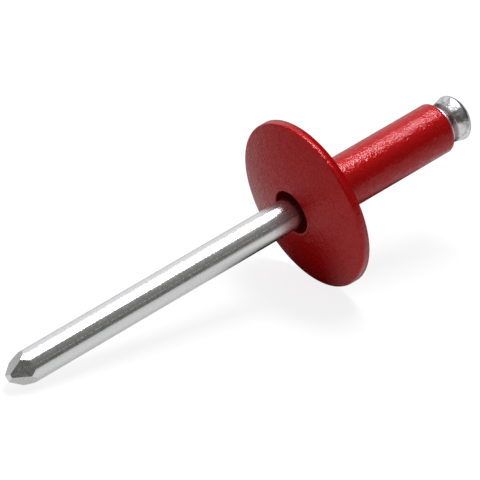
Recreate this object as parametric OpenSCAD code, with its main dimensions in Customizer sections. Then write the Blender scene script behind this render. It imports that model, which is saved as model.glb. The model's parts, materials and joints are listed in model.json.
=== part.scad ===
// Pop rivet: a painted aluminium body with a wide domed flange, threaded on a bright
// aluminium mandrel. The rivet lies on its side as it comes to rest: on the rim of the
// flange and on one corner of the mandrel's pinch point, with the mandrel head towards +X.
// Each piece is drawn along its own axis first: z = 0 is the flat underside of the flange,
// +z runs to the mandrel head on the blind side, and -z to the point on the tool side.

/* [Rivet body] */
// Diameter of the hollow shank
body_d = 4.8; // [4.6:0.1:6.4]
// Length of the shank below the flange
body_len = 15; // [8:0.5:25]
// Rounding of the shank's blind end
end_round = 0.45; // [0.1:0.05:0.6]
// Fillet between the shank and the underside of the flange
seat_fillet = 0.25; // [0.1:0.05:0.5]

/* [Flange] */
// Diameter of the flange
flange_d = 16; // [11:0.5:20]
// Height of the dome's crown above the underside
flange_h = 2.25; // [1.8:0.05:3]
// Height of the upright wall at the rim
rim_wall = 0.6; // [0.4:0.05:0.8]
// Rounding from the rim wall into the dome
rim_round = 0.3; // [0.1:0.05:0.5]
// Diameter of the hole's mouth in the dome
mouth_d = 4.1; // [3.8:0.1:5]
// Depth of the mouth's straight wall below the crown
mouth_depth = 0.75; // [0.5:0.05:1]
// Rounding of the mouth's lip
lip_round = 0.15; // [0.1:0.05:0.3]
// Angle of the funnel that leads from the mouth to the bore, from the axis
funnel_angle = 40; // [35:1:55]

/* [Mandrel] */
// Diameter of the mandrel
mandrel_d = 2.95; // [2.6:0.05:3.1]
// Gap between the mandrel and the bore, all round
bore_clearance = 0.05; // [0.02:0.01:0.1]
// Length of mandrel that stands out beyond the crown of the flange
mandrel_out = 31.05; // [20:0.05:45]
// Diameter of the break neck, where the mandrel snaps
neck_d = 2; // [1.4:0.1:2.2]
// Radius of the groove that forms the break neck
neck_round = 0.7; // [0.5:0.1:1.5]
// Distance of the break neck inside the shank's blind end
neck_setback = 1.2; // [0.8:0.1:3]

/* [Mandrel head] */
// Diameter of the head where its side meets the crown
head_d = 4.3; // [3.9:0.05:4.6]
// Diameter of the head at the edge of its underside
brim_d = 3.85; // [3.5:0.05:4.2]
// Diameter of the collar under the head
collar_d = 3.85; // [3.5:0.05:3.9]
// Length of the collar, from its seat on the shank's end
collar_len = 0.3; // [0.2:0.05:0.6]
// Rounding of the collar's outer edge
collar_round = 0.12; // [0.05:0.01:0.15]
// How far the gap between collar and head stays proud of the mandrel, all round
gap_step = 0.08; // [0.05:0.01:0.15]
// Width of the gap at its bottom
gap_floor = 0.14; // [0.08:0.02:0.3]
// Length of the underside's cone, from the bottom of the gap to the edge of the head
brim_len = 0.34; // [0.2:0.02:0.6]
// Length of the head's side, which widens towards the crown
head_side = 0.97; // [0.5:0.01:1.5]
// Height of the crown above the side
crown_h = 1.15; // [0.8:0.05:1.4]
// Rounding from the side into the crown
crown_round = 0.45; // [0.2:0.05:0.5]

/* [Pinch point] */
// Length of the pinched end, from the heels of its facets to the blunt end
pinch_len = 2.2; // [1.8:0.05:2.3]
// Angle from the axis of the three facets that are struck deep
facet_angle = 28.5; // [27:0.5:30]
// Angle from the axis of the fourth facet, struck less deep
shallow_angle = 18; // [15:0.5:24]
// Turn of the two lower facets about the axis, to each side of straight down
lower_turn = 48; // [42:1:50]
// Turn of the upper deep facet about the axis, from straight down
upper_turn = 150; // [135:1:155]
// Turn of the shallow facet about the axis, from straight down
shallow_turn = -124; // [-140:1:-120]

/* [Hidden] */
$fn = 96;

// Reach of a cutting shape past the material that it cuts
past = 1;

body_r = body_d / 2;
flange_r = flange_d / 2;
mouth_r = mouth_d / 2;
mandrel_r = mandrel_d / 2;
bore_r = mandrel_r + bore_clearance;
neck_r = neck_d / 2;
head_r = head_d / 2;
brim_r = brim_d / 2;
collar_r = collar_d / 2;
gap_r = mandrel_r + gap_step;

// Radius of a spherical dome that rises by h above the middle of its edge rounding r,
// where a is the distance of that middle from the axis
function dome_radius(a, h, r) = (a * a + h * h - r * r) / (2 * (h - r));

// Distance from the centre of a dome of radius d to the plane through the middle of a
// rounding r that touches it from inside at the distance a from the axis
function rounding_height(d, a, r) = sqrt((d - r) * (d - r) - a * a);

// The flange's dome, measured down from its crown at z = -flange_h
rim_middle_r = flange_r - rim_round;
dome_r = dome_radius(rim_middle_r, flange_h - rim_wall, rim_round);
dome_centre_z = dome_r - flange_h;
dome_edge_r = rim_middle_r * dome_r / (dome_r - rim_round);

// The lip of the mouth, rolled from the dome into the straight wall
lip_middle_r = mouth_r + lip_round;
lip_middle_z = dome_centre_z - rounding_height(dome_r, lip_middle_r, lip_round);
funnel_z = mouth_depth - flange_h;
funnel_len = (mouth_r - bore_r) / tan(funnel_angle);

// The head, from its seat on the shank's end to its crown
gap_z = body_len + collar_len;
cone_z = gap_z + gap_floor;
brim_z = cone_z + brim_len;
crown_z = brim_z + head_side;
head_end_z = crown_z + crown_h;
crown_r = dome_radius(head_r - crown_round, crown_h, crown_round);
crown_centre_z = head_end_z - crown_r;
crown_edge_r = (head_r - crown_round) * crown_r / (crown_r - crown_round);

// The point: its blunt end, and where its facets begin
point_z = -flange_h - mandrel_out;
heel_z = point_z + pinch_len;

// Place along the axis of the point's lowest corner, where the two lower facets and the
// round stem meet
corner_z = heel_z - mandrel_r * (1 - cos(lower_turn)) / tan(facet_angle);

// Dip of the axis at which the flange's rim and this corner both reach the ground
rest_rise = rim_middle_r - mandrel_r;
rest_span = -rim_wall - corner_z;
dip = atan2(rest_rise, rest_span) + asin(rim_round / norm([rest_rise, rest_span]));

// Height of the flange's centre above the ground
lift = rim_round + rim_middle_r * cos(dip) + rim_wall * sin(dip);

// Its place along X, which puts the origin under the middle of the whole rivet: from the
// lowest corner of the blunt end to the far side of the crown
end_drop = (mandrel_r - pinch_len * tan(facet_angle)) / cos(lower_turn);
low_x = point_z * cos(dip) - end_drop * sin(dip);
high_x = crown_centre_z * cos(dip) + crown_r;
seat_x = -(low_x + high_x) / 2;

// Lays a piece down from its own axis to where it rests
module lie() {
    translate([seat_x, 0, lift])
        rotate([0, 90 - dip, 0])
            children();
}

// Rectangle in the half section, from radius r0 to r1 and from height z0 to z1
module band(r0, r1, z0, z1) {
    translate([r0, z0])
        square([r1 - r0, z1 - z0]);
}

// Disc in the half section
module disc(at_r, at_z, r) {
    translate([at_r, at_z])
        circle(r = r);
}

// Half section of the flange: rim wall, rounded rim and dome
module flange_section() {
    band(0, flange_r, -rim_wall, 0);
    disc(rim_middle_r, -rim_wall, rim_round);
    intersection() {
        disc(0, dome_centre_z, dome_r);
        band(0, dome_edge_r, -flange_h - past, 0);
    }
}

// Half section of the shank, with its rounded end and the fillet at its root
module shank_section() {
    band(0, body_r, -rim_wall, body_len - end_round);
    band(0, body_r - end_round, body_len - end_round, body_len);
    disc(body_r - end_round, body_len - end_round, end_round);
    difference() {
        band(0, body_r + seat_fillet, -rim_wall, seat_fillet);
        disc(body_r + seat_fillet, seat_fillet, seat_fillet);
    }
}

// Half section of the hole: bore, funnel, straight mouth and the cut that opens the lip
module hole_section() {
    band(0, bore_r, -flange_h - past, body_len + past);
    band(0, mouth_r, -flange_h - past, funnel_z);
    polygon([[0, funnel_z], [mouth_r, funnel_z], [bore_r, funnel_z + funnel_len], [0, funnel_z + funnel_len]]);
    difference() {
        band(0, lip_middle_r * dome_r / (dome_r - lip_round), -flange_h - past, lip_middle_z);
        disc(lip_middle_r, lip_middle_z, lip_round);
    }
}

// Rivet body: flange and hollow shank, headed from one blank
module rivet_body() {
    color("firebrick")
        lie()
            rotate_extrude()
                difference() {
                    union() {
                        flange_section();
                        shank_section();
                    }
                    hole_section();
                }
}

// Half section of the collar that seats on the shank's end
module collar_section() {
    band(0, collar_r, body_len, gap_z - collar_round);
    band(0, collar_r - collar_round, body_len, gap_z);
    disc(collar_r - collar_round, gap_z - collar_round, collar_round);
}

// Half section of the head: gap, cone of the underside, widening side and domed crown
module head_section() {
    polygon([
        [0, gap_z],
        [gap_r, gap_z],
        [gap_r, cone_z],
        [brim_r, brim_z],
        [head_r, crown_z],
        [0, crown_z]
    ]);
    disc(head_r - crown_round, crown_z, crown_round);
    intersection() {
        disc(0, crown_centre_z, crown_r);
        band(0, crown_edge_r, crown_z, head_end_z + past);
    }
}

// Half section of the mandrel's stem, with the groove that makes it snap
module stem_section() {
    difference() {
        band(0, mandrel_r, point_z, body_len);
        disc(neck_r + neck_round, body_len - neck_setback, neck_round);
    }
}

// Block that cuts one facet of the point, at a turn about the axis and an angle from it
module facet_cut(turn, angle) {
    rotate([0, 0, turn])
        translate([mandrel_r, 0, heel_z])
            rotate([0, angle, 0])
                translate([0, -mandrel_d, -2 * pinch_len])
                    cube([mandrel_d, 2 * mandrel_d, 2 * pinch_len]);
}

// Mandrel: headed pin with a break neck and a four-sided pinch point
module mandrel() {
    color("silver")
        lie()
            difference() {
                rotate_extrude() {
                    stem_section();
                    collar_section();
                    head_section();
                }
                facet_cut(-lower_turn, facet_angle);
                facet_cut(lower_turn, facet_angle);
                facet_cut(upper_turn, facet_angle);
                facet_cut(shallow_turn, shallow_angle);
            }
}

rivet_body();
mandrel();
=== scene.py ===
"""Pop rivet: a red enamelled body with a wide domed flange, threaded on a bright aluminium
mandrel. It lies on a pale floor, on the rim of its flange and one corner of its pinch point.

Both pieces are drawn along the rivet's own axis, as a maker would turn them: z = 0 is the
flat underside of the flange, +z runs to the mandrel head and -z to the point. LIE then lays
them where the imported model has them. Sizes are in millimetres until they reach a mesh, a
texture or a lamp, where MM turns them into metres.
"""
import json
import math

import bmesh
import bpy
from mathutils import Matrix, Vector


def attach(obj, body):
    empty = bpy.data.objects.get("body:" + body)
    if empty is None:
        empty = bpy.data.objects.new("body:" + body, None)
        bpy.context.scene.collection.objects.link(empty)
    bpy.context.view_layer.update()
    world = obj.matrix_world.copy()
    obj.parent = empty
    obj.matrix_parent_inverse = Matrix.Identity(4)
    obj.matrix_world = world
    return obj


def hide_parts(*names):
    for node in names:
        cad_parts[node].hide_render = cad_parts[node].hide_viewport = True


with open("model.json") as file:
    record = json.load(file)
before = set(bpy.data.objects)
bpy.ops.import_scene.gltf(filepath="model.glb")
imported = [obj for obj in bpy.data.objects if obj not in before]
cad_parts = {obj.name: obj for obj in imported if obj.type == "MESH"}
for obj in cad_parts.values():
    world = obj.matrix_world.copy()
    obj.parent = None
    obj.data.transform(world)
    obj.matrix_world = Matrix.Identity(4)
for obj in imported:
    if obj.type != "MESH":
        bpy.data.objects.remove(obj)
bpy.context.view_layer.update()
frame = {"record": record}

MM = 0.001

# Quarter of a full turn
QUARTER = math.pi / 2

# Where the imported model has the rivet. Its axis lies over y = 0, and the mount on the flange's
# underside is given to one side of it.
mounts = {mount["name"]: mount for mount in frame["record"]["mounts"]}
shank = mounts["body_shank"]
axis = Vector(shank["axis"]).normalized()
seat = Vector(mounts["flange_seat"]["pos_m"])
seat.y = 0.0
down = Vector((0, 1, 0)).cross(axis)
LIE = Matrix.Translation(seat) @ Matrix((down, (0, 1, 0), axis)).transposed().to_4x4()

# Rivet body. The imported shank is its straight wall, from the fillet to the rounded end.
BODY_R = shank["dims"]["r_mm"]
SEAT_FILLET = 0.25
END_ROUND = 0.45
BODY_LEN = SEAT_FILLET + shank["dims"]["length_mm"] + END_ROUND
FLANGE_R = 8.0
FLANGE_H = 2.25
RIM_WALL = 0.6
RIM_ROUND = 0.3
MOUTH_R = 2.05
MOUTH_DEPTH = 0.75
LIP_ROUND = 0.15
FUNNEL_ANGLE = math.radians(40)
BORE_CLEARANCE = 0.05

# Mandrel
MANDREL_R = 1.475
MANDREL_OUT = 31.05
NECK_R = 1.0
NECK_ROUND = 0.7
NECK_SETBACK = 1.2

# Mandrel head, from the collar that seats on the shank's end to the crown
HEAD_R = 2.15
BRIM_R = 1.925
COLLAR_R = 1.925
COLLAR_LEN = 0.3
COLLAR_ROUND = 0.12
GAP_R = 1.555
GAP_FLOOR = 0.14
BRIM_LEN = 0.34
HEAD_SIDE = 0.97
CROWN_H = 1.15
CROWN_ROUND = 0.45
GAP_Z = BODY_LEN + COLLAR_LEN
CONE_Z = GAP_Z + GAP_FLOOR
BRIM_Z = CONE_Z + BRIM_LEN
CROWN_Z = BRIM_Z + HEAD_SIDE

# Pinch point: each facet's turn about the axis and its angle from the axis, in degrees
PINCH_LEN = 2.2
POINT_Z = -FLANGE_H - MANDREL_OUT
HEEL_Z = POINT_Z + PINCH_LEN
FACETS = [(-48, 28.5), (48, 28.5), (150, 28.5), (-124, 18)]

# Die line on the wire: its turn about the axis, on the photograph's side, and its width
DIE_LINE_TURN = math.radians(-120)
DIE_LINE_WIDTH = 0.0885

# Sides of a turned piece, all round
SIDES = 192

# Rounding of the mandrel's struck edges, and the least angle of an edge that gets it
EDGE_ROUND = 0.03
EDGE_ANGLE = math.radians(25)

# Vertices nearer than this, in metres, are one
SAME_PLACE = 1e-7


def place_object(name, data):
    """Links a new object into the scene."""
    placed = bpy.data.objects.new(name, data)
    bpy.context.scene.collection.objects.link(placed)
    return placed


# Camera

# Viewing angle of the photograph: turn from +Y about the upright, and height above level
CAMERA_TURN = math.radians(38.071)
CAMERA_HEIGHT = math.radians(26.331)
CAMERA_DISTANCE = 396.24
CAMERA_AIM = Vector((-0.224, 0.0, 6.605))
CAMERA_LENS = 342.6
CAMERA_SENSOR = 36.0

# Nearest thing that the camera sees
CAMERA_NEAR = 10.0


def place_camera():
    """A long lens, held level, where the photograph was taken from."""
    away = Vector((
        math.sin(CAMERA_TURN) * math.cos(CAMERA_HEIGHT),
        math.cos(CAMERA_TURN) * math.cos(CAMERA_HEIGHT),
        -math.sin(CAMERA_HEIGHT),
    ))
    data = bpy.data.cameras.new("camera")
    data.lens = CAMERA_LENS
    data.sensor_width = CAMERA_SENSOR
    data.clip_start = CAMERA_NEAR * MM
    camera = place_object("camera", data)
    camera.location = (CAMERA_AIM - away * CAMERA_DISTANCE) * MM
    camera.rotation_euler = away.to_track_quat("-Z", "Y").to_euler()
    bpy.context.scene.camera = camera


# Outlines

def arc(at_r, at_z, radius, start, end, steps):
    """Points of a round stretch about (at_r, at_z), angles in radians from the +r way."""
    turns = [start + (end - start) * i / steps for i in range(steps + 1)]
    return [(at_r + radius * math.cos(t), at_z + radius * math.sin(t)) for t in turns]


def dome_radius(a, h, r):
    """Radius of a dome that rises h above the middle of its edge rounding r, a off the axis."""
    return (a * a + h * h - r * r) / (2 * (h - r))


def body_outline():
    """Closed outline of flange and shank, from the bore's blind end and round by the dome."""
    bore_r = MANDREL_R + BORE_CLEARANCE
    rim_r = FLANGE_R - RIM_ROUND
    dome_r = dome_radius(rim_r, FLANGE_H - RIM_WALL, RIM_ROUND)
    dome_z = dome_r - FLANGE_H
    lip_r = MOUTH_R + LIP_ROUND
    lip_turn = math.asin(lip_r / (dome_r - LIP_ROUND))
    lip_z = dome_z - (dome_r - LIP_ROUND) * math.cos(lip_turn)
    rim_turn = math.asin(rim_r / (dome_r - RIM_ROUND))
    funnel_z = MOUTH_DEPTH - FLANGE_H
    funnel_end = funnel_z + (MOUTH_R - bore_r) / math.tan(FUNNEL_ANGLE)
    fillet_r = BODY_R + SEAT_FILLET
    outline = [(bore_r, BODY_LEN), (bore_r, funnel_end), (MOUTH_R, funnel_z)]
    outline += arc(lip_r, lip_z, LIP_ROUND, -math.pi, lip_turn - QUARTER, steps=8)
    outline += arc(0, dome_z, dome_r, lip_turn - QUARTER, rim_turn - QUARTER, steps=48)[1:]
    outline += arc(rim_r, -RIM_WALL, RIM_ROUND, rim_turn - QUARTER, 0, steps=10)[1:]
    outline += [(FLANGE_R, 0.0)]
    outline += arc(fillet_r, SEAT_FILLET, SEAT_FILLET, -QUARTER, -math.pi, steps=8)
    outline += arc(BODY_R - END_ROUND, BODY_LEN - END_ROUND, END_ROUND, 0, QUARTER, steps=12)
    return outline


def mandrel_outline():
    """Outline of the mandrel from its blunt end, past the break neck, to the crown."""
    neck_r = NECK_R + NECK_ROUND
    neck_z = BODY_LEN - NECK_SETBACK
    neck_turn = math.acos((neck_r - MANDREL_R) / NECK_ROUND)
    collar_r = COLLAR_R - COLLAR_ROUND
    edge_r = HEAD_R - CROWN_ROUND
    crown_r = dome_radius(edge_r, CROWN_H, CROWN_ROUND)
    crown_middle_z = CROWN_Z + CROWN_H - crown_r
    crown_turn = math.asin(edge_r / (crown_r - CROWN_ROUND))
    outline = [(0, POINT_Z), (MANDREL_R, POINT_Z)]
    outline += arc(neck_r, neck_z, NECK_ROUND, math.pi + neck_turn, math.pi - neck_turn, steps=12)
    outline += [(MANDREL_R, BODY_LEN), (COLLAR_R, BODY_LEN)]
    outline += arc(collar_r, GAP_Z - COLLAR_ROUND, COLLAR_ROUND, 0, QUARTER, steps=6)
    outline += [(GAP_R, GAP_Z), (GAP_R, CONE_Z), (BRIM_R, BRIM_Z)]
    outline += arc(edge_r, CROWN_Z, CROWN_ROUND, 0, QUARTER - crown_turn, steps=10)
    outline += arc(0, crown_middle_z, crown_r, QUARTER - crown_turn, QUARTER, steps=20)[1:]
    return outline


# Meshes

def turned_mesh(outline, closed):
    """Turns an outline about the axis: a closed one, or an open one that ends on the axis."""
    bm = bmesh.new()
    turns = [2 * math.pi * i / SIDES for i in range(SIDES)]
    rings = []
    for r, z in outline:
        ring = [(r * MM * math.cos(t), r * MM * math.sin(t), z * MM) for t in turns]
        rings.append([bm.verts.new(place) for place in ring])
    pairs = list(zip(rings, rings[1:]))
    if closed:
        pairs.append((rings[-1], rings[0]))
    for low, high in pairs:
        for i in range(SIDES):
            j = (i + 1) % SIDES
            bm.faces.new([low[i], low[j], high[j], high[i]])
    bmesh.ops.remove_doubles(bm, verts=bm.verts, dist=SAME_PLACE)
    return bm


def pinch(bm, turn, angle):
    """Cuts one facet of the point, at a turn about the axis and an angle from it."""
    outward = Vector((math.cos(turn), math.sin(turn), 0))
    cut = bmesh.ops.bisect_plane(
        bm,
        geom=bm.verts[:] + bm.edges[:] + bm.faces[:],
        plane_co=(outward * MANDREL_R + Vector((0, 0, HEEL_Z))) * MM,
        plane_no=outward * math.cos(angle) - Vector((0, 0, math.sin(angle))),
        clear_outer=True,
    )
    rim = [part for part in cut["geom_cut"] if isinstance(part, bmesh.types.BMEdge)]
    bmesh.ops.holes_fill(bm, edges=rim)


def lay_piece(name, bm, material, node):
    """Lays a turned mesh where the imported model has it, and stands it in for its node."""
    bmesh.ops.remove_doubles(bm, verts=bm.verts, dist=SAME_PLACE)
    bmesh.ops.recalc_face_normals(bm, faces=bm.faces)
    mesh = bpy.data.meshes.new(name)
    bm.to_mesh(mesh)
    bm.free()
    mesh.materials.append(material)
    mesh.shade_smooth()
    piece = place_object(name, mesh)
    piece.matrix_world = LIE
    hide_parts(node)
    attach(piece, "root")
    return piece


def make_body():
    """Flange and hollow shank, turned in one closed outline."""
    bm = turned_mesh(body_outline(), closed=True)
    lay_piece("enamelled_body", bm, red_enamel(), "rivet_body")


def make_mandrel():
    """Headed pin with a break neck and a four-sided pinch point."""
    bm = turned_mesh(mandrel_outline(), closed=False)
    for turn, angle in FACETS:
        pinch(bm, math.radians(turn), math.radians(angle))
    piece = lay_piece("drawn_mandrel", bm, drawn_aluminium(), "mandrel")
    rounding = piece.modifiers.new("edges of the struck metal", "BEVEL")
    rounding.width = EDGE_ROUND * MM
    rounding.segments = 3
    rounding.limit_method = "ANGLE"
    rounding.angle_limit = EDGE_ANGLE
    piece.modifiers.new("flat faces stay flat", "WEIGHTED_NORMAL").keep_sharp = False


# Finishes

def linear(hex_colour):
    """Linear colour of an sRGB hex value."""
    channels = [int(hex_colour[i:i + 2], 16) / 255 for i in (1, 3, 5)]
    return [c / 12.92 if c <= 0.04045 else ((c + 0.055) / 1.055) ** 2.4 for c in channels] + [1.0]


def per_mm(size):
    """Scale of a texture whose features are about size millimetres apart."""
    return 1.0 / (size * MM)


def stretch(start, end):
    """Limits of a Map Range node that runs from one place to another, in millimetres."""
    return {"From Min": start * MM, "From Max": end * MM}


def add_node(tree, kind, inputs=None, **settings):
    """Adds one node; each input is a plain value, or a socket to link from."""
    node = tree.nodes.new(kind)
    for name, value in settings.items():
        setattr(node, name, value)
    for name, value in (inputs or {}).items():
        if isinstance(value, bpy.types.NodeSocket):
            tree.links.new(value, node.inputs[name])
        else:
            node.inputs[name].default_value = value
    return node


def empty_tree(owner):
    """Node tree of a material or a world, with nothing in it yet."""
    owner.use_nodes = True
    owner.node_tree.nodes.clear()
    return owner.node_tree


def new_finish(name, settings):
    """New material, with its tree, its shader and the piece's own coordinates."""
    material = bpy.data.materials.new(name)
    tree = empty_tree(material)
    shader = add_node(tree, "ShaderNodeBsdfPrincipled", settings)
    add_node(tree, "ShaderNodeOutputMaterial", {"Surface": shader.outputs["BSDF"]})
    place = add_node(tree, "ShaderNodeTexCoord").outputs["Object"]
    return material, tree, shader, place


def mouth_shade_mask(tree, place):
    """Mask of the painted shade in the mouth of the hole: one inside the mouth and zero elsewhere.
    The mouth is within its own radius of the axis, on the tool side of the flange's underside."""
    across = add_node(tree, "ShaderNodeVectorMath",
                      {0: place, 1: (1.0, 1.0, 0.0)}, operation="MULTIPLY")
    out = add_node(tree, "ShaderNodeVectorMath", {0: across.outputs["Vector"]}, operation="LENGTH")
    within = add_node(tree, "ShaderNodeMapRange", {
        "Value": out.outputs["Value"],
        **stretch(MOUTH_R + 0.01, MOUTH_R + 0.12),
        "To Min": 1.0,
        "To Max": 0.0,
    })
    along = add_node(tree, "ShaderNodeSeparateXYZ", {"Vector": place}).outputs["Z"]
    tool_side = add_node(tree, "ShaderNodeMath", {0: along, 1: 0.0}, operation="LESS_THAN")
    return add_node(tree, "ShaderNodeMath", {
        0: within.outputs["Result"],
        1: tool_side.outputs["Value"],
    }, operation="MULTIPLY").outputs["Value"]


def enamel_colour(tree, place):
    """Deep red that changes slowly with the film's thickness, painted a little darker in the mouth of
    the hole as painted shade in the recess.
    """
    # Thicker and thinner film, about 3 mm across
    film = add_node(tree, "ShaderNodeTexNoise",
                    {"Vector": place, "Scale": per_mm(3.0), "Detail": 3.0})
    red = add_node(tree, "ShaderNodeMix", {
        "Factor": film.outputs["Fac"],
        "A": linear("#B80206"),
        "B": linear("#C40408"),
    }, data_type="RGBA")
    # Painted shade: the red is made darker inside the mouth of the hole
    return add_node(tree, "ShaderNodeMix", {
        "Factor": mouth_shade_mask(tree, place),
        "A": red.outputs["Result"],
        "B": linear("#A80A0D"),
    }, data_type="RGBA").outputs["Result"]


def sprayed_skin(tree, place):
    """Relief of the sprayed film: a fine grain over a slower orange peel."""
    # Grain, about 0.2 mm across: it gives the broad flange its fine tooth
    grain = add_node(tree, "ShaderNodeTexNoise",
                     {"Vector": place, "Scale": per_mm(0.2), "Detail": 1.0, "Roughness": 0.6})
    # Orange peel, about 0.8 mm across: it makes the edges of the highlight waver
    peel = add_node(tree, "ShaderNodeTexNoise",
                    {"Vector": place, "Scale": per_mm(0.8), "Detail": 1.0})
    relief = add_node(tree, "ShaderNodeMath",
                      {0: peel.outputs["Fac"], 1: grain.outputs["Fac"]}, operation="ADD")
    return add_node(tree, "ShaderNodeBump", {
        "Height": relief.outputs["Value"],
        "Strength": 1.0,
        "Distance": 0.04 * MM,
    }).outputs["Normal"]


# Range of the sideways part that a speck of gloss adds to the skin's normal, which is 1 long
SPECK_LEAN = 0.1


def leaning_specks(tree, specks, skin):
    """Way that each speck of the gloss faces: as the skin does, but leant a few degrees."""
    level = add_node(tree, "ShaderNodeVectorMath",
                     {0: skin, 1: [SPECK_LEAN / 2] * 3}, operation="SUBTRACT")
    leaning = add_node(tree, "ShaderNodeVectorMath", {
        0: specks.outputs["Color"],
        1: [SPECK_LEAN] * 3,
        2: level.outputs["Vector"],
    }, operation="MULTIPLY_ADD")
    return add_node(tree, "ShaderNodeVectorMath",
                    {0: leaning.outputs["Vector"]}, operation="NORMALIZE").outputs["Vector"]


def red_enamel():
    """Red stove enamel sprayed on aluminium: a deep red that the metal below makes glow where it is
    lit, under a glossy skin whose fine grain breaks the light into specks. Inside the mouth of the
    hole, which looks almost black, the red is painted a little darker: painted shade in the recess."""
    material, tree, shader, place = new_finish("red stove enamel", {
        "Metallic": 0.38,
        "Roughness": 0.56,
        "Specular IOR Level": 0.0,
        "Coat IOR": 1.4,
        "Coat Roughness": 0.12,
    })
    tree.links.new(enamel_colour(tree, place), shader.inputs["Base Color"])
    skin = sprayed_skin(tree, place)
    tree.links.new(skin, shader.inputs["Normal"])
    # Specks of the gloss, drawn about 0.17 mm across, coarser than the real ones, so that they
    # show. Each has more or less gloss and leans its own way, so that the highlight sparkles.
    specks = add_node(tree, "ShaderNodeTexVoronoi", {"Vector": place, "Scale": per_mm(0.17)})
    shares = add_node(tree, "ShaderNodeSeparateColor", {"Color": specks.outputs["Color"]})
    gloss = add_node(tree, "ShaderNodeMapRange", {
        "Value": shares.outputs["Red"],
        "To Min": 0.65,
        "To Max": 1.0,
    })
    tree.links.new(gloss.outputs["Result"], shader.inputs["Coat Weight"])
    tree.links.new(leaning_specks(tree, specks, skin), shader.inputs["Coat Normal"])
    return material


def greased(tree, bright, dents, head):
    """Grey grease that stayed in the dents of the struck head."""
    in_dents = add_node(tree, "ShaderNodeMapRange", {
        "Value": dents,
        "From Min": 0.45,
        "From Max": 0.6,
        "To Max": 0.52,
    })
    on_head = add_node(tree, "ShaderNodeMath",
                       {0: in_dents.outputs["Result"], 1: head}, operation="MULTIPLY")
    return add_node(tree, "ShaderNodeMix", {
        "Factor": on_head.outputs["Value"],
        "A": bright,
        "B": linear("#6A6C6A"),
    }, data_type="RGBA").outputs["Result"]


def gap_shade_and_reflection(tree, metal, along):
    """Painted shade and painted reflection: a dark purplish tone in the gap between the collar and
    the brim of the head, where the head's underside mirrors the red shank end and the dark gap.
    """
    past_collar = add_node(tree, "ShaderNodeMapRange",
                           {"Value": along, **stretch(GAP_Z - 0.06, GAP_Z + 0.02)})
    past_brim = add_node(tree, "ShaderNodeMapRange",
                         {"Value": along, **stretch(BRIM_Z - 0.12, BRIM_Z + 0.06)})
    in_gap = add_node(tree, "ShaderNodeMath", {
        0: past_collar.outputs["Result"],
        1: past_brim.outputs["Result"],
    }, operation="SUBTRACT")
    return add_node(tree, "ShaderNodeMix", {
        "Factor": in_gap.outputs["Value"],
        "A": metal,
        "B": linear("#A8969C"),
    }, data_type="RGBA").outputs["Result"]


def painted_flange_reflection(tree, metal, along):
    """Painted reflection of the red flange: a pinkish tone on the wire over the last 3 mm before it
    enters the flange. It fades again inside the bore."""
    inside = add_node(tree, "ShaderNodeMapRange", {"Value": along, **stretch(0.0, 1.0)})
    in_hole = add_node(tree, "ShaderNodeMix", {
        "Factor": inside.outputs["Result"],
        "A": linear("#A8888E"),
        "B": metal,
    }, data_type="RGBA")
    near_hole = add_node(tree, "ShaderNodeMapRange",
                         {"Value": along, **stretch(-FLANGE_H - 3.0, -FLANGE_H)})
    return add_node(tree, "ShaderNodeMix", {
        "Factor": near_hole.outputs["Result"],
        "A": metal,
        "B": in_hole.outputs["Result"],
    }, data_type="RGBA").outputs["Result"]


def die_line(tree, place, parts):
    """One on the die line: a scratch along the wire, drawn 0.09 mm wide so that it shows, and
    broken every quarter of a millimetre or so."""
    turn = add_node(tree, "ShaderNodeMath",
                    {0: parts["Y"], 1: parts["X"]}, operation="ARCTAN2")
    from_line = add_node(tree, "ShaderNodeMath", {
        0: turn.outputs["Value"],
        1: DIE_LINE_TURN,
        2: DIE_LINE_WIDTH / 2 / MANDREL_R,
    }, operation="COMPARE")
    past_heel = add_node(tree, "ShaderNodeMapRange",
                         {"Value": parts["Z"], **stretch(HEEL_Z, HEEL_Z + 0.3)})
    on_stem = add_node(tree, "ShaderNodeMath", {
        0: past_heel.outputs["Result"],
        1: from_line.outputs["Value"],
    }, operation="MULTIPLY")
    down_wire = add_node(tree, "ShaderNodeVectorMath", {0: place, 1: (0, 0, 1)}, operation="MULTIPLY")
    breaks = add_node(tree, "ShaderNodeTexNoise",
                      {"Vector": down_wire.outputs["Vector"], "Scale": per_mm(0.25), "Detail": 1.0})
    return add_node(tree, "ShaderNodeMapRange", {
        "Value": breaks.outputs["Fac"],
        "From Min": 0.4,
        "From Max": 0.55,
        "To Max": on_stem.outputs["Value"],
    }).outputs["Result"]


def aluminium_roughness(tree, mottle, scratch, head):
    """Bright wire with a dull die line, and a head that is dull in patches."""
    wire = add_node(tree, "ShaderNodeMapRange", {
        "Value": mottle,
        "From Min": 0.3,
        "From Max": 0.7,
        "To Min": 0.18,
        "To Max": 0.36,
    })
    scratched = add_node(tree, "ShaderNodeMix", {
        "Factor": scratch,
        "A": wire.outputs["Result"],
        "B": 0.55,
    })
    struck_head = add_node(tree, "ShaderNodeMapRange", {
        "Value": mottle,
        "To Min": 0.12,
        "To Max": 0.42,
    })
    return add_node(tree, "ShaderNodeMix", {
        "Factor": head,
        "A": scratched.outputs["Result"],
        "B": struck_head.outputs["Result"],
    }).outputs["Result"]


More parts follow.
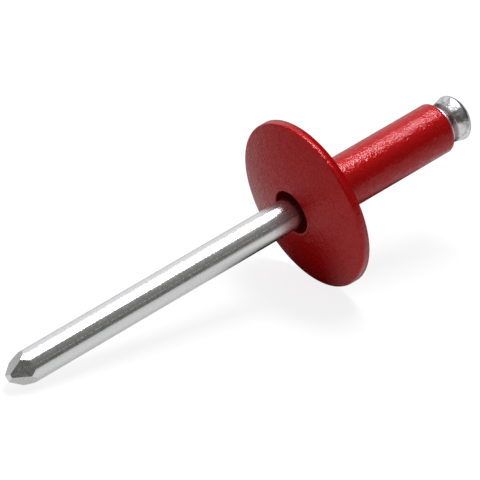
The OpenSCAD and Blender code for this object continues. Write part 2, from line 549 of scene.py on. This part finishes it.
def aluminium_relief(tree, lines, dents, head, along):
    """Shallow draw lines on the wire, and deep dents on the head. The point was pinched in
    cutters, so it is dented half as deep as the head."""
    pinched = add_node(tree, "ShaderNodeMapRange",
                       {"Value": along, **stretch(HEEL_Z, HEEL_Z - 0.6), "To Max": 0.5})
    struck = add_node(tree, "ShaderNodeMath",
                      {0: head, 1: pinched.outputs["Result"]}, operation="ADD")
    relief = add_node(tree, "ShaderNodeMix",
                      {"Factor": struck.outputs["Value"], "A": lines, "B": dents})
    depth = add_node(tree, "ShaderNodeMapRange", {
        "Value": struck.outputs["Value"],
        "To Min": 0.004 * MM,
        "To Max": 0.05 * MM,
    })
    return add_node(tree, "ShaderNodeBump", {
        "Height": relief.outputs["Result"],
        "Strength": 1.0,
        "Distance": depth.outputs["Result"],
    }).outputs["Normal"]


def drawn_aluminium():
    """Aluminium wire pulled bright through a die: nearly a mirror, with fine draw lines along it, one
    deeper die line and a faint mottle. The head was struck in a tool, so it is duller and more
    uneven. The gap under the head is painted dark and purplish as painted shade and a painted
    reflection of the red shank end, and the wire near the flange is painted pinkish as a painted
    reflection of the flange."""
    material, tree, shader, place = new_finish("bright drawn aluminium", {"Metallic": 1.0})
    parts = add_node(tree, "ShaderNodeSeparateXYZ", {"Vector": place}).outputs
    along = parts["Z"]
    head = add_node(tree, "ShaderNodeMapRange",
                    {"Value": along, **stretch(BODY_LEN - 0.1, BODY_LEN + 0.3)}).outputs["Result"]
    # Draw lines, about 0.05 mm apart round the wire and 4 mm long: too close to be told apart
    # at this distance, but they spread the gleam a little
    drawn_out = add_node(tree, "ShaderNodeMapping", {
        "Vector": place,
        "Scale": (per_mm(0.05), per_mm(0.05), per_mm(4.0)),
    })
    lines = add_node(tree, "ShaderNodeTexNoise",
                     {"Vector": drawn_out.outputs["Vector"], "Scale": 1.0, "Detail": 2.0})
    # Mottle left by handling, about 0.3 mm across: it dulls the wire in faint patches
    mottle = add_node(tree, "ShaderNodeTexNoise",
                      {"Vector": place, "Scale": per_mm(0.3), "Detail": 4.0, "Roughness": 0.7})
    # Dents of the struck head, about 0.5 mm across: they break up what it mirrors
    dents = add_node(tree, "ShaderNodeTexNoise",
                     {"Vector": place, "Scale": per_mm(0.5), "Detail": 3.0})
    bright = add_node(tree, "ShaderNodeMix", {
        "Factor": mottle.outputs["Fac"],
        "A": linear("#DCDCDA"),
        "B": linear("#FFFFFE"),
    }, data_type="RGBA")
    colour = greased(tree, bright.outputs["Result"], dents.outputs["Fac"], head)
    # Painted shade and painted reflection in the gap under the head
    colour = gap_shade_and_reflection(tree, colour, along)
    # Painted reflection of the red flange on the wire near the hole
    colour = painted_flange_reflection(tree, colour, along)
    tree.links.new(colour, shader.inputs["Base Color"])
    scratch = die_line(tree, place, parts)
    rough = aluminium_roughness(tree, mottle.outputs["Fac"], scratch, head)
    tree.links.new(rough, shader.inputs["Roughness"])
    relief = aluminium_relief(tree, lines.outputs["Fac"], dents.outputs["Fac"], head, along)
    tree.links.new(relief, shader.inputs["Normal"])
    return material


# Floor

FLOOR_SIZE = 3000.0

# How brightly the floor shows as background and in the rivet's mirrored light, over what the
# lamp gives it
FLOOR_SHOWS = 0.84
FLOOR_MIRRORED = 0.44

# Painted shadow on the floor under the rivet body, seen only in mirrored rays: its middle, half its
# length and width, and its turn from +X
SHADE_AT = Vector((15.0, 5.0, 0.0))
SHADE_SIZE = Vector((14.0, 8.0, 1.0))
SHADE_TURN = math.radians(14)


def open_floor(tree, place):
    """Zero in the painted shadow under the rivet body and one on the open floor."""
    in_shade = add_node(tree, "ShaderNodeMapping", {
        "Vector": place,
        "Location": SHADE_AT * MM,
        "Rotation": (0.0, 0.0, SHADE_TURN),
        "Scale": SHADE_SIZE * MM,
    }, vector_type="TEXTURE")
    from_middle = add_node(tree, "ShaderNodeVectorMath",
                           {0: in_shade.outputs["Vector"]}, operation="LENGTH")
    return add_node(tree, "ShaderNodeMapRange", {
        "Value": from_middle.outputs["Value"],
        "From Min": 0.75,
        "From Max": 1.3,
    }, interpolation_type="SMOOTHSTEP").outputs["Result"]


def floor_glow(tree, rays, parts, unshaded):
    """Light that the floor adds of its own: to the background, so that it reads as white, and to what
    the rivet mirrors, painted a little dimmer behind the rivet and absent in the painted shadow under
    the body."""
    behind_rivet = add_node(tree, "ShaderNodeMapRange", {
        "Value": parts["Y"],
        **stretch(4.0, 18.0),
        "To Min": FLOOR_MIRRORED,
        "To Max": FLOOR_MIRRORED * 0.85,
    })
    glow_there = add_node(tree, "ShaderNodeMath",
                          {0: unshaded, 1: behind_rivet.outputs["Result"]}, operation="MULTIPLY")
    mirrored = add_node(tree, "ShaderNodeMath", {
        0: rays["Is Glossy Ray"],
        1: glow_there.outputs["Value"],
    }, operation="MULTIPLY")
    strength = add_node(tree, "ShaderNodeMath", {
        0: rays["Is Camera Ray"],
        1: FLOOR_SHOWS,
        2: mirrored.outputs["Value"],
    }, operation="MULTIPLY_ADD")
    return add_node(tree, "ShaderNodeEmission", {
        "Color": linear("#FFFFFF"),
        "Strength": strength.outputs["Value"],
    }).outputs["Emission"]


def floor_tone(tree, rays, parts, unshaded):
    """Tone of the floor. In mirrored rays it is painted darker behind the rivet, past the mandrel
    head and in the painted shadow under the body: painted shade that the rivet mirrors. It is paler
    as the rivet is lit by it than as the camera sees it, where the glow is added."""
    # Painted shade behind the rivet and past the head, seen in mirrored rays
    behind = add_node(tree, "ShaderNodeMapRange", {"Value": parts["Y"], **stretch(2.0, 16.0)})
    near_rivet = add_node(tree, "ShaderNodeMix", {
        "Factor": behind.outputs["Result"],
        "A": linear("#949494"),
        "B": linear("#505050"),
    }, data_type="RGBA")
    beyond = add_node(tree, "ShaderNodeMapRange", {"Value": parts["X"], **stretch(34.0, 60.0)})
    in_the_open = add_node(tree, "ShaderNodeMix", {
        "Factor": beyond.outputs["Result"],
        "A": near_rivet.outputs["Result"],
        "B": linear("#404040"),
    }, data_type="RGBA")
    mirrored = add_node(tree, "ShaderNodeMix", {
        "Factor": unshaded,
        "A": linear("#404040"),
        "B": in_the_open.outputs["Result"],
    }, data_type="RGBA")
    from_rivet = add_node(tree, "ShaderNodeMix", {
        "Factor": rays["Is Glossy Ray"],
        "A": linear("#D4D4D4"),
        "B": mirrored.outputs["Result"],
    }, data_type="RGBA")
    return add_node(tree, "ShaderNodeMix", {
        "Factor": rays["Is Camera Ray"],
        "A": from_rivet.outputs["Result"],
        "B": linear("#808080"),
    }, data_type="RGBA").outputs["Result"]


def pale_floor():
    """Matt floor. It keeps a soft cast shadow, and reads as white where nothing shades it. In
    mirrored rays it also carries painted shade near the rivet.
    """
    material = bpy.data.materials.new("pale floor")
    tree = empty_tree(material)
    rays = add_node(tree, "ShaderNodeLightPath").outputs
    place = add_node(tree, "ShaderNodeTexCoord").outputs["Object"]
    parts = add_node(tree, "ShaderNodeSeparateXYZ", {"Vector": place}).outputs
    unshaded = open_floor(tree, place)
    matt = add_node(tree, "ShaderNodeBsdfDiffuse",
                    {"Color": floor_tone(tree, rays, parts, unshaded)})
    both = add_node(tree, "ShaderNodeAddShader", {
        0: floor_glow(tree, rays, parts, unshaded),
        1: matt.outputs["BSDF"],
    })
    add_node(tree, "ShaderNodeOutputMaterial", {"Surface": both.outputs["Shader"]})
    half = FLOOR_SIZE / 2 * MM
    mesh = bpy.data.meshes.new("floor")
    mesh.from_pydata([(-half, -half, 0), (half, -half, 0), (half, half, 0), (-half, half, 0)],
                     [], [(0, 1, 2, 3)])
    mesh.materials.append(material)
    place_object("floor", mesh)


# Surroundings

# Each place in the room is a direction from the rivet, given by its parts along X, Y and Z.
# +X is the way that the mandrel head points, +Y lies behind the rivet and +Z is the ceiling.

def dim_room(tree, way):
    """Dim room round the rivet: brighter towards the ceiling, darker on the point's side."""
    height = add_node(tree, "ShaderNodeMapRange", {
        "Value": way["Z"],
        "From Min": 0.35,
        "From Max": 0.95,
        "To Min": 0.13,
        "To Max": 0.28,
    })
    across = add_node(tree, "ShaderNodeMapRange", {
        "Value": way["X"],
        "From Min": -0.3,
        "From Max": 0.2,
        "To Min": 0.6,
    })
    level = add_node(tree, "ShaderNodeMath", {
        0: height.outputs["Result"],
        1: across.outputs["Result"],
    }, operation="MULTIPLY")
    return add_node(tree, "ShaderNodeMix", {
        "Factor": level.outputs["Value"],
        "A": linear("#000000"),
        "B": linear("#FFFEFB"),
    }, data_type="RGBA").outputs["Result"]


def pale_backdrop(tree, way, room):
    """Pale backdrop behind the rivet, on the head's side."""
    behind = add_node(tree, "ShaderNodeMapRange",
                      {"Value": way["Y"], "From Min": -0.25, "From Max": 0.1},
                      interpolation_type="SMOOTHSTEP")
    right = add_node(tree, "ShaderNodeMapRange",
                     {"Value": way["X"], "From Min": -0.25, "From Max": 0.3},
                     interpolation_type="SMOOTHSTEP")
    there = add_node(tree, "ShaderNodeMath", {
        0: behind.outputs["Result"],
        1: right.outputs["Result"],
    }, operation="MULTIPLY")
    return add_node(tree, "ShaderNodeMix", {
        "Factor": there.outputs["Value"],
        "A": room,
        "B": linear("#E6E6EA"),
    }, data_type="RGBA").outputs["Result"]


def dark_doorway(tree, way, room):
    """Dark doorway past the head, which the crown mirrors."""
    there = add_node(tree, "ShaderNodeMapRange",
                     {"Value": way["X"], "From Min": 0.55, "From Max": 0.78},
                     interpolation_type="SMOOTHSTEP")
    return add_node(tree, "ShaderNodeMix", {
        "Factor": there.outputs["Result"],
        "A": room,
        "B": linear("#424648"),
    }, data_type="RGBA").outputs["Result"]


def pale_wall(tree, way, room):
    """Pale wall past the point, on the side that the flange's dome faces."""
    to_left = add_node(tree, "ShaderNodeMapRange",
                       {"Value": way["X"], "From Min": -0.3, "From Max": -0.6},
                       interpolation_type="SMOOTHSTEP")
    past_camera = add_node(tree, "ShaderNodeMapRange",
                           {"Value": way["Y"], "From Min": -0.5, "From Max": -0.2},
                           interpolation_type="SMOOTHSTEP")
    there = add_node(tree, "ShaderNodeMath", {
        0: to_left.outputs["Result"],
        1: past_camera.outputs["Result"],
    }, operation="MULTIPLY")
    return add_node(tree, "ShaderNodeMix", {
        "Factor": there.outputs["Value"],
        "A": room,
        "B": linear("#C0C0C0"),
    }, data_type="RGBA").outputs["Result"]


def studio_surroundings():
    """Room that lights the rivet and that the bright mandrel mirrors. The camera sees white."""
    world = bpy.data.worlds.new("studio")
    bpy.context.scene.world = world
    tree = empty_tree(world)
    view = add_node(tree, "ShaderNodeTexCoord").outputs["Generated"]
    way = add_node(tree, "ShaderNodeSeparateXYZ", {"Vector": view}).outputs
    room = dim_room(tree, way)
    room = pale_backdrop(tree, way, room)
    room = dark_doorway(tree, way, room)
    room = pale_wall(tree, way, room)
    rays = add_node(tree, "ShaderNodeLightPath").outputs
    seen = add_node(tree, "ShaderNodeMix", {
        "Factor": rays["Is Camera Ray"],
        "A": room,
        "B": linear("#FFFFFF"),
    }, data_type="RGBA")
    light = add_node(tree, "ShaderNodeBackground", {"Color": seen.outputs["Result"], "Strength": 1.0})
    add_node(tree, "ShaderNodeOutputWorld", {"Surface": light.outputs["Background"]})


# Lamp

# Soft box over the rivet: where it hangs, its sides along X and Y, and its brightness
BOX_AT = Vector((145.0, 45.0, 520.0))
BOX_SIDES = (122.0, 310.0)
BOX_RADIANCE = 17.5
BOX_COLOUR = "#F2F4FF"


def hang_soft_box():
    """One large soft box overhead, on the head's side of the rivet."""
    data = bpy.data.lights.new("soft box", "AREA")
    data.shape = "RECTANGLE"
    data.size = BOX_SIDES[0] * MM
    data.size_y = BOX_SIDES[1] * MM
    data.energy = BOX_RADIANCE * math.pi * data.size * data.size_y
    data.color = linear(BOX_COLOUR)[:3]
    place_object("soft box", data).location = BOX_AT * MM


bpy.context.scene.view_settings.view_transform = "Standard"
place_camera()
make_body()
make_mandrel()
pale_floor()
studio_surroundings()
hang_soft_box()
